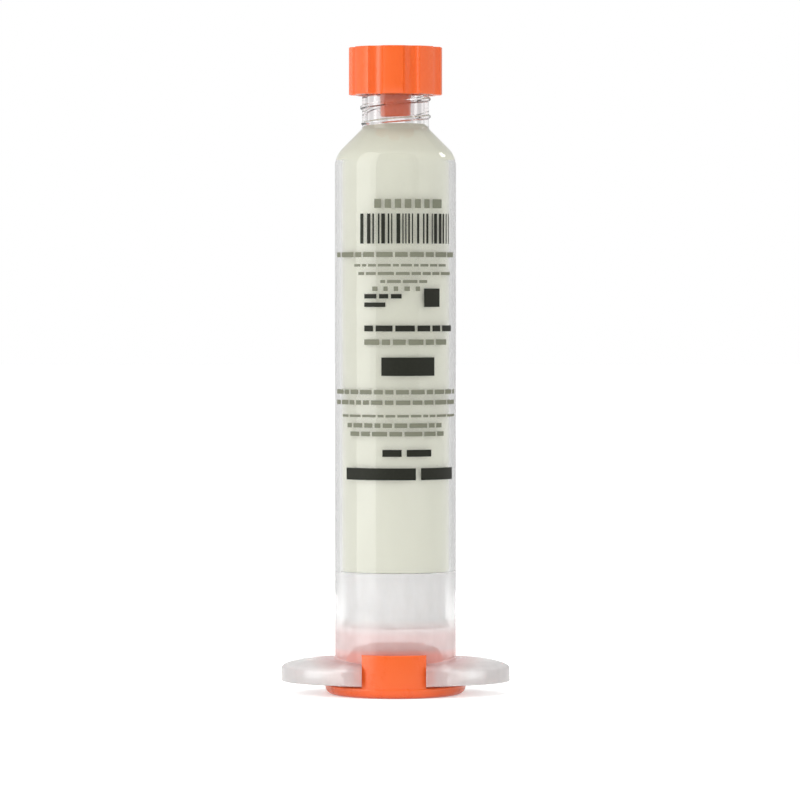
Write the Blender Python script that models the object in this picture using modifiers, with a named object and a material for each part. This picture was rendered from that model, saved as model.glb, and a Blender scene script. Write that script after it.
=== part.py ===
"""A pre-filled flux syringe: clear barrel, screw-on tip cap, follower piston and snap-on end cap.

It stands on the disc of its end cap with the dispensing tip up. Units are metres, +Z is up,
and the origin is at the middle of the disc's underside. The photographed side faces -Y.
"""

import bmesh
import bpy
from math import cos, pi, radians, sin, sqrt, tan

# Fits shared by all pieces
CLEARANCE = 0.0003
CLIP_GAP = 0.00025

# Barrel: bore and tube
BORE_RADIUS = 0.0079
TUBE_WALL = 0.0010
TUBE_LENGTH = 0.0773
SHOULDER_ANGLE = radians(45)
SHOULDER_WALL = 0.0010
SHOULDER_ROUNDING = 0.00385
TIP_BORE_RADIUS = 0.0028
NECK_WALL = 0.00212
NECK_LENGTH = 0.01032
NECK_CHAMFER = 0.00025

# Barrel: thread on the neck, one right-hand ridge that starts at the front left
THREAD_LEAD = 0.00255
THREAD_TURNS = 3
THREAD_START = radians(-150)
THREAD_START_HEIGHT = 0.00072
THREAD_HEIGHT = 0.00025
THREAD_ROOT_WIDTH = 0.0007
THREAD_CREST_WIDTH = 0.0003
THREAD_BITE = 0.0002

# Barrel: finger flange, a pointed oval with a low crown that rises towards its two ears
FLANGE_LENGTH = 0.0336
FLANGE_POINT_LENGTH = 0.0364
FLANGE_OVERHANG = 0.00010
FLANGE_EDGE_HEIGHT = 0.0020
FLANGE_CROWN = 0.00115
FLANGE_EAR_RISE = 0.0005
FLANGE_LEDGE = 0.0002
FLANGE_BITE = 0.0002
FLANGE_UNDERCUT = 0.0002
FLANGE_TIP_BLUNTNESS = 12.0
FLANGE_POINT_CROWDING = 0.3

# End cap: disc, hollow plug and two hooked clips
DISC_THICKNESS = 0.0015
DISC_ROUNDING = 0.0012
PLUG_HEIGHT = 0.0051
PLUG_CHAMFER_WIDTH = 0.00135
PLUG_CHAMFER_HEIGHT = 0.0019
PLUG_WALL = 0.0014
RECESS_CHAMFER_HEIGHT = 0.0011
CLIP_WIDTH = 0.0094
CLIP_THICKNESS = 0.0006
CLIP_LEDGE = 0.0001
CLIP_ROOT_DEPTH = 0.0004
HOOK_OVERLAP = 0.0003
HOOK_TIP_GAP = 0.0002
HOOK_HEIGHT = 0.0011
HOOK_LIP = 0.0003

# Piston: a cup with a sealing lip at each end and a conical nose
AIR_SPACE = 0.0034
PISTON_LENGTH = 0.00815
PISTON_LIP_HEIGHT = 0.0008
PISTON_WAIST_DEPTH = 0.00025
PISTON_WALL = 0.0016
NOSE_SHELF = 0.0007
NOSE_HEIGHT = 0.0042
NOSE_HOLLOW_HEIGHT = 0.0025

# Flux paste: fills the bore from the piston to just under the foot of the tip's bore
PASTE_BELOW_TIP = 0.00025

# Tip cap: grooved screw cap with a pin that plugs the tip
CAP_THREAD_ROOM = 0.0003
CAP_WALL = 0.00138
CAP_HEIGHT = 0.0070
CAP_TOP_WALL = 0.0013
CAP_ROUNDING = 0.00015
CAP_FOOT_CHAMFER = 0.0002
PIN_TAPER = 0.0003
PIN_LENGTH = 0.0089
PIN_CHAMFER = 0.00015
GROOVE_COUNT = 8
GROOVE_START = radians(-68.8)
GROOVE_RADIUS = 0.00165
GROOVE_DEPTH = 0.00070

# Facets round the axis, and along a rounded edge
TURN_STEPS = 64
ARC_STEPS = 4
SHOULDER_ARC_STEPS = 6
DISC_ARC_STEPS = 6
RIDGE_ARC_STEPS = 2
THREAD_STEPS = 48
FLANGE_POINTS = 96
CROWN_STEPS = 4
GROOVE_STEPS = 32

# Radii that follow from the sizes above
TUBE_RADIUS = BORE_RADIUS + TUBE_WALL
NECK_RADIUS = TIP_BORE_RADIUS + NECK_WALL
SLIDING_RADIUS = BORE_RADIUS - CLEARANCE
# The roundings inside and outside the shoulder share a centre, so the wall stays even there
INNER_ROUNDING = SHOULDER_ROUNDING - TUBE_WALL
HOOK_TIP_RADIUS = TUBE_RADIUS + HOOK_TIP_GAP
NOTCH_RADIUS = HOOK_TIP_RADIUS + HOOK_OVERLAP
CLIP_INNER_RADIUS = NOTCH_RADIUS + CLIP_GAP
CLIP_OUTER_RADIUS = CLIP_INNER_RADIUS + CLIP_THICKNESS
DISC_RADIUS = CLIP_OUTER_RADIUS + CLIP_LEDGE
FLANGE_HALF_WIDTH = DISC_RADIUS + FLANGE_OVERHANG
CAP_BORE_RADIUS = NECK_RADIUS + THREAD_HEIGHT + CAP_THREAD_ROOM
CAP_RADIUS = CAP_BORE_RADIUS + CAP_WALL
PIN_ROOT_RADIUS = TIP_BORE_RADIUS - CLEARANCE
PIN_END_RADIUS = PIN_ROOT_RADIUS - PIN_TAPER

# Heights that follow from the sizes above
BARREL_FOOT = DISC_THICKNESS + CLEARANCE
FLANGE_TOP = BARREL_FOOT + FLANGE_EDGE_HEIGHT + FLANGE_CROWN
TUBE_TOP = BARREL_FOOT + TUBE_LENGTH
SHOULDER_TOP = TUBE_TOP + (TUBE_RADIUS - NECK_RADIUS) * tan(SHOULDER_ANGLE)
NECK_TOP = SHOULDER_TOP + NECK_LENGTH
# The inner cone lies under the outer one by the shoulder's wall, measured square to it
BORE_TOP = TUBE_TOP + TUBE_WALL * tan(SHOULDER_ANGLE) - SHOULDER_WALL / cos(SHOULDER_ANGLE)
TIP_BORE_FOOT = BORE_TOP + (BORE_RADIUS - TIP_BORE_RADIUS) * tan(SHOULDER_ANGLE)
# The bore's wall ends where the rounding up into the cone begins
BORE_WALL_TOP = BORE_TOP - INNER_ROUNDING * tan((pi / 2 - SHOULDER_ANGLE) / 2)
PLUG_TOP = DISC_THICKNESS + PLUG_HEIGHT
PISTON_FOOT = PLUG_TOP + AIR_SPACE
PISTON_FACE = PISTON_FOOT + PISTON_LENGTH
PASTE_TOP = TIP_BORE_FOOT - PASTE_BELOW_TIP
CAP_TOP = NECK_TOP + CLEARANCE + CAP_TOP_WALL
CAP_FOOT = CAP_TOP - CAP_HEIGHT

# A cutter reaches this far past the faces that it goes through
CUT_MARGIN = 0.002


def clear_scene():
    """Remove what the file holds, so that a second run starts clean."""
    for obj in list(bpy.data.objects):
        bpy.data.objects.remove(obj, do_unlink=True)
    for old in list(bpy.data.collections):
        bpy.data.collections.remove(old)


def new_collection(name):
    """A collection under the scene's own."""
    collection = bpy.data.collections.new(name)
    bpy.context.scene.collection.children.link(collection)
    return collection


def plastic(name, colour, roughness, alpha=1.0):
    """A plain moulded plastic."""
    material = bpy.data.materials.new(name)
    material.use_nodes = True
    shader = material.node_tree.nodes["Principled BSDF"]
    shader.inputs["Base Color"].default_value = (*colour, 1.0)
    shader.inputs["Roughness"].default_value = roughness
    shader.inputs["Metallic"].default_value = 0.0
    shader.inputs["Alpha"].default_value = alpha
    return material


def arc(centre, radius, start, end, steps=ARC_STEPS):
    """Points (r, z) on an arc, both ends included; angles in degrees from the +r direction."""
    angles = [radians(start + (end - start) * k / steps) for k in range(steps + 1)]
    return [(centre[0] + radius * cos(a), centre[1] + radius * sin(a)) for a in angles]


def turned(name, profile, collection, closed=False):
    """Turn a profile of (r, z) points, which runs down its outer side, about the Z axis."""
    mesh = bpy.data.meshes.new(name)
    edges = [(k, k + 1) for k in range(len(profile) - 1)]
    if closed:
        edges.append((len(profile) - 1, 0))
    mesh.from_pydata([(r, 0.0, z) for r, z in profile], edges, [])
    obj = bpy.data.objects.new(name, mesh)
    collection.objects.link(obj)
    screw = obj.modifiers.new("Turn", "SCREW")
    screw.axis = "Z"
    screw.steps = TURN_STEPS
    screw.render_steps = TURN_STEPS
    screw.use_merge_vertices = True
    screw.merge_threshold = 0.00001
    return obj


def box(name, low, high, collection):
    """An upright box between two corners."""
    mesh = bpy.data.meshes.new(name)
    shape = bmesh.new()
    bmesh.ops.create_cube(shape, size=1.0)
    size = [b - a for a, b in zip(low, high)]
    middle = [(a + b) / 2 for a, b in zip(low, high)]
    bmesh.ops.scale(shape, vec=size, verts=shape.verts)
    bmesh.ops.translate(shape, vec=middle, verts=shape.verts)
    shape.to_mesh(mesh)
    shape.free()
    obj = bpy.data.objects.new(name, mesh)
    collection.objects.link(obj)
    return obj


def combine(obj, other, operation):
    """Add an exact Boolean with another object."""
    boolean = obj.modifiers.new(other.name, "BOOLEAN")
    boolean.operation = operation
    boolean.solver = "EXACT"
    boolean.object = other


def hide_cutter(obj):
    """Show a cutter as wires and keep it out of renders."""
    obj.hide_render = True
    obj.display_type = "WIRE"


def finish(obj, material, joint_point=(0.0, 0.0, 0.0)):
    """Settle the modifiers into the mesh, put the origin on the axis, smooth and colour it."""
    depsgraph = bpy.context.evaluated_depsgraph_get()
    mesh = bpy.data.meshes.new_from_object(obj.evaluated_get(depsgraph))
    mesh.name = obj.name
    obj.modifiers.clear()
    obj.data = mesh
    shape = bmesh.new()
    shape.from_mesh(mesh)
    bmesh.ops.translate(shape, vec=[-v for v in joint_point], verts=shape.verts)
    shape.to_mesh(mesh)
    shape.free()
    obj.location = joint_point
    mesh.shade_smooth()
    mesh.set_sharp_from_angle(angle=radians(32))
    mesh.materials.clear()
    mesh.materials.append(material)


def flange_radius(angle):
    """Distance from the axis to the flange's edge, at an angle from +X.

    The edge is two arcs that would meet in points at the ends. A power mean with the straight
    line that squares off each end blunts those points.
    """
    half_length = FLANGE_LENGTH / 2
    half_points = FLANGE_POINT_LENGTH / 2
    arc_radius = (half_points ** 2 + FLANGE_HALF_WIDTH ** 2) / (2 * FLANGE_HALF_WIDTH)
    arc_centre = arc_radius - FLANGE_HALF_WIDTH
    across, along = abs(sin(angle)), abs(cos(angle))
    on_arc = sqrt(arc_radius ** 2 - (arc_centre * along) ** 2) - arc_centre * across
    power = FLANGE_TIP_BLUNTNESS
    # The line stands where the mean with the points comes out at the flange's own half length
    squared_off = half_length ** -power - half_points ** -power
    return (on_arc ** -power + squared_off * along ** power) ** (-1 / power)


def flange_crown(angle):
    """How far the flange's top lies over its edge where it meets the tube, at an angle from +X."""
    return FLANGE_CROWN + FLANGE_EAR_RISE * cos(angle) ** 4


def flange_ring(shape, radius_at, height_at):
    """One ring of the flange; the points lie closer together towards the two ends."""
    ring = []
    for k in range(FLANGE_POINTS):
        turn = 2 * pi * k / FLANGE_POINTS
        angle = turn - FLANGE_POINT_CROWDING * sin(2 * turn)
        radius = radius_at(angle)
        ring.append(shape.verts.new((radius * cos(angle), radius * sin(angle), height_at(angle))))
    return ring


def make_flange(collection):
    """The finger flange as a loft from its pointed oval edge up to a circle round the tube."""
    inner = TUBE_RADIUS + FLANGE_LEDGE
    edge_top = BARREL_FOOT + FLANGE_EDGE_HEIGHT
    shape = bmesh.new()
    rings = [
        flange_ring(shape, lambda a: flange_radius(a) - FLANGE_UNDERCUT, lambda a: BARREL_FOOT),
        flange_ring(shape, flange_radius, lambda a: BARREL_FOOT + FLANGE_UNDERCUT),
    ]
    for k in range(CROWN_STEPS + 1):
        turn = pi / 2 * k / CROWN_STEPS
        rings.append(flange_ring(
            shape,
            lambda a, c=cos(turn): inner + (flange_radius(a) - inner) * c,
            lambda a, s=sin(turn): edge_top + flange_crown(a) * s,
        ))
    # The loft ends inside the tube, first under its skin and then level
    rings.append(flange_ring(
        shape, lambda a: TUBE_RADIUS - FLANGE_BITE, lambda a: edge_top + flange_crown(a),
    ))
    rings.append(flange_ring(shape, lambda a: TUBE_RADIUS / 2, lambda a: edge_top))
    for low, high in zip(rings, rings[1:]):
        for k in range(FLANGE_POINTS):
            after = (k + 1) % FLANGE_POINTS
            shape.faces.new((low[k], low[after], high[after], high[k]))
    shape.faces.new(list(reversed(rings[0])))
    shape.faces.new(rings[-1])
    mesh = bpy.data.meshes.new("flange_form")
    shape.to_mesh(mesh)
    shape.free()
    obj = bpy.data.objects.new("flange_form", mesh)
    collection.objects.link(obj)
    return obj


def barrel_outside():
    """Profile of the closed tube, shoulder and neck, from the tip down into the flange."""
    steep = 90 - SHOULDER_ANGLE * 180 / pi
    # The rounding touches the cone and the tube's wall, so it starts below their meeting point
    tangent = SHOULDER_ROUNDING * tan((pi / 2 - SHOULDER_ANGLE) / 2)
    centre = (TUBE_RADIUS - SHOULDER_ROUNDING, TUBE_TOP - tangent)
    profile = [(0.0, NECK_TOP), (NECK_RADIUS - NECK_CHAMFER, NECK_TOP)]
    profile += [(NECK_RADIUS, NECK_TOP - NECK_CHAMFER), (NECK_RADIUS, SHOULDER_TOP)]
    profile += arc(centre, SHOULDER_ROUNDING, steep, 0.0, SHOULDER_ARC_STEPS)
    inside_flange = BARREL_FOOT + FLANGE_EDGE_HEIGHT / 2
    return profile + [(TUBE_RADIUS, inside_flange), (0.0, inside_flange)]


def inner_shoulder(offset=0.0):
    """The rounding between inner cone and bore, or a line that lies inside it by an offset."""
    steep = 90 - SHOULDER_ANGLE * 180 / pi
    centre = (BORE_RADIUS - INNER_ROUNDING, BORE_WALL_TOP)
    return arc(centre, INNER_ROUNDING - offset, steep, 0.0, SHOULDER_ARC_STEPS)


def barrel_bore():
    """Profile of the space inside the barrel, open at the foot and at the tip."""
    profile = [
        (0.0, NECK_TOP + CUT_MARGIN),
        (TIP_BORE_RADIUS, NECK_TOP + CUT_MARGIN),
        (TIP_BORE_RADIUS, TIP_BORE_FOOT),
    ]
    profile += inner_shoulder()
    return profile + [
        (BORE_RADIUS, BARREL_FOOT - CUT_MARGIN),
        (0.0, BARREL_FOOT - CUT_MARGIN),
    ]


def make_thread(collection):
    """The neck's thread: a ridge's section carried up the neck on a screw line."""
    root = NECK_RADIUS - THREAD_BITE
    crest = NECK_RADIUS + THREAD_HEIGHT
    foot = SHOULDER_TOP + THREAD_START_HEIGHT
    section = [
        (root, foot - THREAD_ROOT_WIDTH / 2),
        (crest, foot - THREAD_CREST_WIDTH / 2),
        (crest, foot + THREAD_CREST_WIDTH / 2),
        (root, foot + THREAD_ROOT_WIDTH / 2),
    ]
    shape = bmesh.new()
    corners = [shape.verts.new((r * cos(THREAD_START), r * sin(THREAD_START), z)) for r, z in section]
    sides = [shape.edges.new((corners[k - 1], corners[k])) for k in range(len(corners))]
    steps = THREAD_STEPS * THREAD_TURNS
    bmesh.ops.spin(
        shape, geom=corners + sides, cent=(0.0, 0.0, 0.0), axis=(0.0, 0.0, 1.0),
        dvec=(0.0, 0.0, THREAD_LEAD * THREAD_TURNS / steps), angle=2 * pi * THREAD_TURNS, steps=steps,
    )
    # The spin leaves both ends open
    bmesh.ops.holes_fill(shape, edges=[edge for edge in shape.edges if edge.is_boundary])
    bmesh.ops.recalc_face_normals(shape, faces=shape.faces)
    mesh = bpy.data.meshes.new("neck_thread")
    shape.to_mesh(mesh)
    shape.free()
    obj = bpy.data.objects.new("neck_thread", mesh)
    collection.objects.link(obj)
    return obj


def make_barrel(parts, cutters, material):
    """One clear moulding: tube, shoulder, threaded neck and finger flange notched for the clips."""
    flange = make_flange(cutters)
    thread = make_thread(cutters)
    bore = turned("barrel_bore", barrel_bore(), cutters)
    far = FLANGE_HALF_WIDTH + CUT_MARGIN
    low = BARREL_FOOT - CUT_MARGIN
    high = FLANGE_TOP + CUT_MARGIN
    notch_wall = [(NOTCH_RADIUS, high), (far, high), (far, low), (NOTCH_RADIUS, low)]
    notches = turned("clip_notches", notch_wall, cutters, closed=True)
    half = CLIP_WIDTH / 2 + CLIP_GAP
    lane = box(
        "notch_lane",
        (-half, -far - CUT_MARGIN, low - CUT_MARGIN),
        (half, far + CUT_MARGIN, high + CUT_MARGIN),
        cutters,
    )
    combine(notches, lane, "INTERSECT")
    barrel = turned("barrel", barrel_outside(), parts)
    combine(barrel, flange, "UNION")
    combine(barrel, thread, "UNION")
    combine(barrel, bore, "DIFFERENCE")
    combine(barrel, notches, "DIFFERENCE")
    for cutter in (flange, thread, bore, notches, lane):
        hide_cutter(cutter)
    finish(barrel, material, (0.0, 0.0, BARREL_FOOT))


def end_cap_profile():
    """Disc with a rounded under edge, and a plug that is hollow from below."""
    recess_radius = SLIDING_RADIUS - PLUG_WALL
    recess_top = PLUG_TOP - PLUG_WALL
    profile = [
        (0.0, PLUG_TOP),
        (SLIDING_RADIUS - PLUG_CHAMFER_WIDTH, PLUG_TOP),
        (SLIDING_RADIUS, PLUG_TOP - PLUG_CHAMFER_HEIGHT),
        (SLIDING_RADIUS, DISC_THICKNESS),
        (DISC_RADIUS, DISC_THICKNESS),
    ]
    profile += arc((DISC_RADIUS - DISC_ROUNDING, DISC_ROUNDING), DISC_ROUNDING, 0, -90, DISC_ARC_STEPS)
    return profile + [
        (recess_radius, 0.0),
        (recess_radius, recess_top - RECESS_CHAMFER_HEIGHT),
        (recess_radius - PLUG_CHAMFER_WIDTH, recess_top),
        (0.0, recess_top),
    ]


def clip_profile():
    """Section of a clip: a thin wall that rises past the flange, with an inward hook on top."""
    hook_foot = FLANGE_TOP + CLEARANCE
    hook_top = hook_foot + HOOK_HEIGHT
    root = DISC_THICKNESS - CLIP_ROOT_DEPTH
    ridge = CLIP_OUTER_RADIUS - CLIP_THICKNESS / 2
    rounding = CLIP_THICKNESS / 2
    profile = arc((ridge, hook_top - rounding), rounding, 90, 0, RIDGE_ARC_STEPS)
    return profile + [
        (CLIP_OUTER_RADIUS, root),
        (CLIP_INNER_RADIUS, root),
        (CLIP_INNER_RADIUS, hook_foot),
        (HOOK_TIP_RADIUS, hook_foot),
        (HOOK_TIP_RADIUS, hook_foot + HOOK_LIP),
    ]


def make_end_cap(parts, cutters, material):
    """One orange moulding: disc, plug in the bore, and a hooked clip at front and back."""
    clips = turned("clips", clip_profile(), cutters, closed=True)
    far = DISC_RADIUS + CUT_MARGIN
    lane = box(
        "clip_lane",
        (-CLIP_WIDTH / 2, -far, 0.0),
        (CLIP_WIDTH / 2, far, FLANGE_TOP + HOOK_HEIGHT + CUT_MARGIN),
        cutters,
    )
    combine(clips, lane, "INTERSECT")
    end_cap = turned("end_cap", end_cap_profile(), parts)
    combine(end_cap, clips, "UNION")
    for cutter in (clips, lane):
        hide_cutter(cutter)
    finish(end_cap, material)


def piston_profile():
    """Outside with two sealing lips and a waist, cone in front, cup behind."""
    shelf = SLIDING_RADIUS - NOSE_SHELF
    nose_end = shelf - NOSE_HEIGHT / tan(SHOULDER_ANGLE)
    waist = SLIDING_RADIUS - PISTON_WAIST_DEPTH
    cup_radius = SLIDING_RADIUS - PISTON_WALL
    cup_top = PISTON_FACE - PISTON_WALL
    nose_inside = cup_top + NOSE_HOLLOW_HEIGHT
    return [
        (0.0, PISTON_FACE + NOSE_HEIGHT),
        (nose_end, PISTON_FACE + NOSE_HEIGHT),
        (shelf, PISTON_FACE),
        (SLIDING_RADIUS, PISTON_FACE),
        (SLIDING_RADIUS, PISTON_FACE - PISTON_LIP_HEIGHT),
        (waist, PISTON_FACE - PISTON_LIP_HEIGHT - PISTON_WAIST_DEPTH),
        (waist, PISTON_FOOT + PISTON_LIP_HEIGHT + PISTON_WAIST_DEPTH),
        (SLIDING_RADIUS, PISTON_FOOT + PISTON_LIP_HEIGHT),
        (SLIDING_RADIUS, PISTON_FOOT),
        (cup_radius, PISTON_FOOT),
        (cup_radius, cup_top),
        (nose_end, nose_inside),
        (0.0, nose_inside),
    ]


def make_piston(parts, material):
    """The white follower that a plunger or air pressure drives up the bore."""
    piston = turned("piston", piston_profile(), parts)
    finish(piston, material, (0.0, 0.0, PISTON_FOOT))


def paste_profile():
    """The paste keeps a clearance to the bore, the inner cone and the piston's nose."""
    cone_radius = TIP_BORE_RADIUS + PASTE_BELOW_TIP / tan(SHOULDER_ANGLE)
    shelf = SLIDING_RADIUS - NOSE_SHELF
    nose_end = shelf - NOSE_HEIGHT / tan(SHOULDER_ANGLE)
    over_nose = PISTON_FACE + CLEARANCE
    profile = [
        (0.0, PASTE_TOP),
        (cone_radius - CLEARANCE / sin(SHOULDER_ANGLE), PASTE_TOP),
    ]
    profile += inner_shoulder(CLEARANCE)
    return profile + [
        (SLIDING_RADIUS, over_nose),
        (shelf, over_nose),
        (nose_end, over_nose + NOSE_HEIGHT),
        (0.0, over_nose + NOSE_HEIGHT),
    ]


def make_paste(parts, material):
    """The charge of soft flux, one turned solid."""
    paste = turned("flux_paste", paste_profile(), parts)
    finish(paste, material, (0.0, 0.0, PISTON_FACE))


def tip_cap_profile():
    """Cap with a threaded bore and, in its middle, the tapered pin that plugs the tip."""
    inside_top = CAP_TOP - CAP_TOP_WALL
    pin_foot = inside_top - PIN_LENGTH
    rounding_centre = (CAP_RADIUS - CAP_ROUNDING, CAP_TOP - CAP_ROUNDING)
    profile = [(0.0, CAP_TOP)]
    profile += arc(rounding_centre, CAP_ROUNDING, 90, 0)
    return profile + [
        (CAP_RADIUS, CAP_FOOT + CAP_FOOT_CHAMFER),
        (CAP_RADIUS - CAP_FOOT_CHAMFER, CAP_FOOT),
        (CAP_BORE_RADIUS, CAP_FOOT),
        (CAP_BORE_RADIUS, inside_top),
        (PIN_ROOT_RADIUS, inside_top),
        (PIN_END_RADIUS, pin_foot + PIN_CHAMFER),
        (PIN_END_RADIUS - PIN_CHAMFER, pin_foot),
        (0.0, pin_foot),
    ]


def make_grooves(cutters):
    """Upright round bars, evenly spaced, that cut the grip grooves into the cap's side."""
    centre_radius = CAP_RADIUS + GROOVE_RADIUS - GROOVE_DEPTH
    depth = CAP_HEIGHT + 2 * CUT_MARGIN
    shape = bmesh.new()
    for k in range(GROOVE_COUNT):
        angle = GROOVE_START + 2 * pi * k / GROOVE_COUNT
        bar = bmesh.ops.create_cone(
            shape, cap_ends=True, segments=GROOVE_STEPS,
            radius1=GROOVE_RADIUS, radius2=GROOVE_RADIUS, depth=depth,
        )
        place = (
            centre_radius * cos(angle),
            centre_radius * sin(angle),
            CAP_FOOT + CAP_HEIGHT / 2,
        )
        bmesh.ops.translate(shape, vec=place, verts=bar["verts"])
    mesh = bpy.data.meshes.new("grip_grooves")
    shape.to_mesh(mesh)
    shape.free()
    obj = bpy.data.objects.new("grip_grooves", mesh)
    cutters.objects.link(obj)
    return obj


def make_tip_cap(parts, cutters, material):
    """One orange moulding: grooved cap and plugging pin."""
    grooves = make_grooves(cutters)
    cap = turned("tip_cap", tip_cap_profile(), parts)
    combine(cap, grooves, "DIFFERENCE")
    hide_cutter(grooves)
    finish(cap, material, (0.0, 0.0, CAP_FOOT))


def main():
    clear_scene()
    parts = new_collection("flux_syringe")
    cutters = new_collection("cutters")
    clear_plastic = plastic("clear_barrel", (0.86, 0.87, 0.86), 0.12, alpha=0.35)
    orange_plastic = plastic("orange_cap", (0.90, 0.13, 0.035), 0.35)
    white_plastic = plastic("white_piston", (0.86, 0.85, 0.85), 0.45)
    paste_look = plastic("flux_paste", (0.68, 0.69, 0.50), 0.40)
    make_end_cap(parts, cutters, orange_plastic)
    make_barrel(parts, cutters, clear_plastic)
    make_piston(parts, white_plastic)
    make_paste(parts, paste_look)
    make_tip_cap(parts, cutters, orange_plastic)


main()
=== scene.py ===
# %% [markdown]
# # A flux syringe, dressed for its portrait
#
# The syringe is a clear moulded barrel with a charge of soft flux in it, a white follower piston
# behind the flux, an orange cap clipped under the finger flange and an orange screw cap on the tip.
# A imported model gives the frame: what is where, how big it is, and what moves with what. This script
# makes the finished surfaces round that frame, sets the light and the camera, and changes no size.

# %% Load the frame
import random
from math import atan2, cos, degrees, pi, radians, sin, sqrt, tan

import bmesh
import bpy
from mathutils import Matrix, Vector


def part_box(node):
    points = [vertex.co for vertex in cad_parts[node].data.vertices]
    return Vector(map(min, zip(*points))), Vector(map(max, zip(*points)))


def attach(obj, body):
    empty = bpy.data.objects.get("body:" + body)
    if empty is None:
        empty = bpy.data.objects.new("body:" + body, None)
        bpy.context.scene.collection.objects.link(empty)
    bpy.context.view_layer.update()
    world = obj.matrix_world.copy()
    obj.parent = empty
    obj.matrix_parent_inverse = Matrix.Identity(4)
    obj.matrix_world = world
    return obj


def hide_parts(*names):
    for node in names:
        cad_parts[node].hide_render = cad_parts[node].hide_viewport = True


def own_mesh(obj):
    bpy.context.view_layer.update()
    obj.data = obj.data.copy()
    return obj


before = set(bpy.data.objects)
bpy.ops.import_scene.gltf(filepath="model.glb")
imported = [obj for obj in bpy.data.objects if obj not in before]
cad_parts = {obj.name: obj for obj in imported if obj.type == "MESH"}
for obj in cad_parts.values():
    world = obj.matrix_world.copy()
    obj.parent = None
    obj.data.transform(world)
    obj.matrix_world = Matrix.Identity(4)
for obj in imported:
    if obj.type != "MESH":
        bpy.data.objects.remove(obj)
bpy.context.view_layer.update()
MM = 0.001
for name in sorted(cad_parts):
    low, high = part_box(name)
    print(name, "from", [round(v / MM, 2) for v in low], "to", [round(v / MM, 2) for v in high])

# %% [markdown]
# ## The camera
#
# The photograph is taken from straight in front with a long lens: the foot is seen a little from
# above and the cap a little from below, so the lens is at about two thirds of the height. Four
# measures in the picture fix the view: the barrel's axis, the floor, the eye's level and the scale.
# A small helper comes first, which puts any new object in the scene.

# %% A new object
def add_object(name, data):
    """Put a new object in the scene, at the origin."""
    obj = bpy.data.objects.new(name, data)
    bpy.context.scene.collection.objects.link(obj)
    return obj


# %% Place the camera
PICTURE = 800
AXIS_AT_X = 395.5
FLOOR_AT_Y = 694.0
EYE_LEVEL_AT_Y = 293.0
PIXELS_PER_MM = 6.80
DISTANCE = 0.66
TURNED = radians(1.4)
SENSOR = 36.0

focal_pixels = PIXELS_PER_MM * DISTANCE / MM
across = Vector((cos(TURNED), sin(TURNED), 0.0))
towards_eye = Vector((sin(TURNED), -cos(TURNED), 0.0))
middle_right = (PICTURE / 2 - AXIS_AT_X) / PIXELS_PER_MM * MM
middle_up = (FLOOR_AT_Y - PICTURE / 2) / PIXELS_PER_MM * MM
eye_up = (FLOOR_AT_Y - EYE_LEVEL_AT_Y) / PIXELS_PER_MM * MM
eye = towards_eye * DISTANCE + Vector((0, 0, eye_up))
target = across * middle_right + Vector((0, 0, middle_up))

lens = bpy.data.cameras.new("portrait_lens")
lens.sensor_width = SENSOR
lens.lens = SENSOR * focal_pixels / PICTURE
lens.clip_start = 0.01
camera = add_object("portrait_camera", lens)
camera.location = eye
camera.rotation_euler = (target - eye).to_track_quat("-Z", "Y").to_euler()
bpy.context.scene.camera = camera
bpy.context.scene.view_settings.view_transform = "Standard"
print("lens", round(lens.lens, 1), "mm, eye", round(eye_up / MM, 1), "mm above the floor")

# %% [markdown]
# ## Nodes as arithmetic
#
# Shaders and Geometry Nodes both do their sums with Math nodes. A small class wraps a socket, so
# that `1 - mask * 2` writes the nodes by itself. Every other kind of node comes from one method.

# %% A socket that can be added and multiplied
class Sum:
    """A number socket in a node tree; arithmetic on it adds Math nodes."""

    def __init__(self, graph, socket):
        self.graph = graph
        self.socket = socket

    def math(self, operation, *others):
        values = {0: self}
        values.update({k + 1: other for k, other in enumerate(others)})
        return self.graph.add("ShaderNodeMath", {"operation": operation}, values)

    def reflected(self, operation, first):
        return self.graph.add("ShaderNodeMath", {"operation": operation}, {0: first, 1: self})

    def __add__(self, other):
        return self.math("ADD", other)

    __radd__ = __add__

    def __sub__(self, other):
        return self.math("SUBTRACT", other)

    def __rsub__(self, other):
        return self.reflected("SUBTRACT", other)

    def __mul__(self, other):
        return self.math("MULTIPLY", other)

    __rmul__ = __mul__

    def __truediv__(self, other):
        return self.math("DIVIDE", other)

    def __rtruediv__(self, other):
        return self.reflected("DIVIDE", other)

    def __pow__(self, other):
        return self.math("POWER", other)

    def __neg__(self):
        return self * -1.0

    def clamped(self):
        return self.math("MINIMUM", 1.0).math("MAXIMUM", 0.0)


class Graph:
    """A node tree that is written with Python expressions."""

    def __init__(self, tree):
        self.tree = tree

    def add(self, kind, settings=None, values=None, out=0):
        """Add a node: its settings first, then what goes into its sockets; give one output."""
        node = self.tree.nodes.new(kind)
        for key, value in (settings or {}).items():
            setattr(node, key, value)
        for key, value in (values or {}).items():
            if isinstance(value, Sum):
                self.tree.links.new(value.socket, node.inputs[key])
            else:
                node.inputs[key].default_value = value
        return Sum(self, node.outputs[out])

    def axes(self, vector):
        """The three numbers in a vector."""
        return [self.add("ShaderNodeSeparateXYZ", {}, {0: vector}, k) for k in range(3)]


# %% [markdown]
# ## Turned shapes
#
# Nearly every piece here came out of a round mould. A list of rows, each a radius and a height,
# is carried round the axis. Either may also be a function of the angle, which is how the pointed
# oval of the flange and the round tube become one skin without a seam.

# %% A lathe for meshes
def arc(centre, radius, start, end, steps):
    """Points (r, z) on an arc, both ends included; angles in degrees from the +r direction."""
    angles = [radians(start + (end - start) * k / steps) for k in range(steps + 1)]
    return [(centre[0] + radius * cos(a), centre[1] + radius * sin(a)) for a in angles]


def straight(start, end, steps):
    """Points between two (r, z) places, without the first."""
    return [tuple(a + (b - a) * k / steps for a, b in zip(start, end)) for k in range(1, steps + 1)]


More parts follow.
